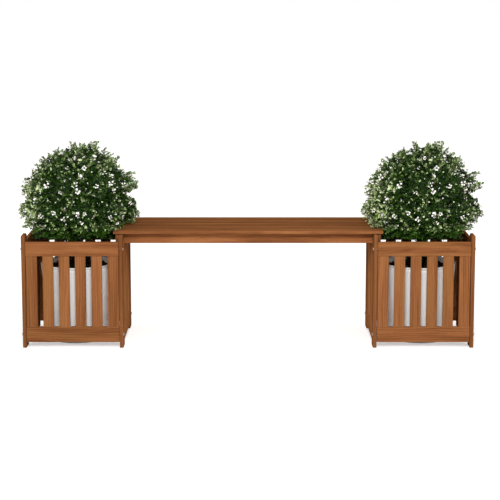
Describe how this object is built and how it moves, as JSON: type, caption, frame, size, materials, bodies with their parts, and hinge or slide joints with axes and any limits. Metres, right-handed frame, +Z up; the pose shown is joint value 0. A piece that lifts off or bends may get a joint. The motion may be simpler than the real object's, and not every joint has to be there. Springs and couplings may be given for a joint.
{
  "type": "planter bench",
  "caption": "Slatted wooden bench seat carried between two square slatted planters, each holding a white pot with a flowering shrub.",
  "frame": {"origin": "on the ground, under the middle of the seat", "axes": "+X along the seat, +Y from the front to the back, +Z up"},
  "size_m": [1.922, 0.5, 0.815],
  "materials": {
    "wood": "oiled hardwood with fine straight grain",
    "bolts": "zinc-plated steel",
    "pot": "smooth white with a soft gloss",
    "soil": "dark crumbly potting soil",
    "leaves": "small dark green leaves",
    "flowers": "small white five-petalled flowers",
    "stems": "thin woody stems"
  },
  "bodies": {
    "bench": {"left_outer_front_post": "wood", "left_outer_back_post": "wood", "left_outer_top_rail": "wood", "left_outer_slatted_panel": "wood", "left_inner_front_post": "wood", "left_inner_back_post": "wood", "left_inner_top_rail": "wood", "left_inner_slatted_panel": "wood", "left_front_top_rail": "wood", "left_front_slatted_panel": "wood", "left_back_top_rail": "wood", "left_back_slatted_panel": "wood", "right_outer_front_post": "wood", "right_outer_back_post": "wood", "right_outer_top_rail": "wood", "right_outer_slatted_panel": "wood", "right_inner_front_post": "wood", "right_inner_back_post": "wood", "right_inner_top_rail": "wood", "right_inner_slatted_panel": "wood", "right_front_top_rail": "wood", "right_front_slatted_panel": "wood", "right_back_top_rail": "wood", "right_back_slatted_panel": "wood", "seat_slat_1": "wood", "seat_slat_2": "wood", "seat_slat_3": "wood", "seat_slat_4": "wood", "seat_slat_5": "wood", "front_apron": "wood", "back_apron": "wood", "middle_rail": "wood", "left_end_rail": "wood", "left_cleat": "wood", "right_end_rail": "wood", "right_cleat": "wood", "left_outer_front_top_bolt": "bolts", "left_outer_front_bottom_bolt": "bolts", "left_outer_back_top_bolt": "bolts", "left_outer_back_bottom_bolt": "bolts", "left_inner_front_top_bolt": "bolts", "left_inner_front_bottom_bolt": "bolts", "left_inner_back_top_bolt": "bolts", "left_inner_back_bottom_bolt": "bolts", "right_outer_front_top_bolt": "bolts", "right_outer_front_bottom_bolt": "bolts", "right_outer_back_top_bolt": "bolts", "right_outer_back_bottom_bolt": "bolts", "right_inner_front_top_bolt": "bolts", "right_inner_front_bottom_bolt": "bolts", "right_inner_back_top_bolt": "bolts", "right_inner_back_bottom_bolt": "bolts", "left_seat_bolt": "bolts", "right_seat_bolt": "bolts"},
    "left_potted_shrub": {"left_pot": "pot", "left_soil": "soil", "left_shrub": "leaves"},
    "right_potted_shrub": {"right_pot": "pot", "right_soil": "soil", "right_shrub": "leaves"}
  },
  "joints": [
    {"name": "left_pot_lift", "type": "slide", "parent": "bench", "child": "left_potted_shrub", "axis": [0, 0, 1], "range_m": [0, 0.46]},
    {"name": "right_pot_lift", "type": "slide", "parent": "bench", "child": "right_potted_shrub", "axis": [0, 0, 1], "range_m": [0, 0.46]}
  ]
}
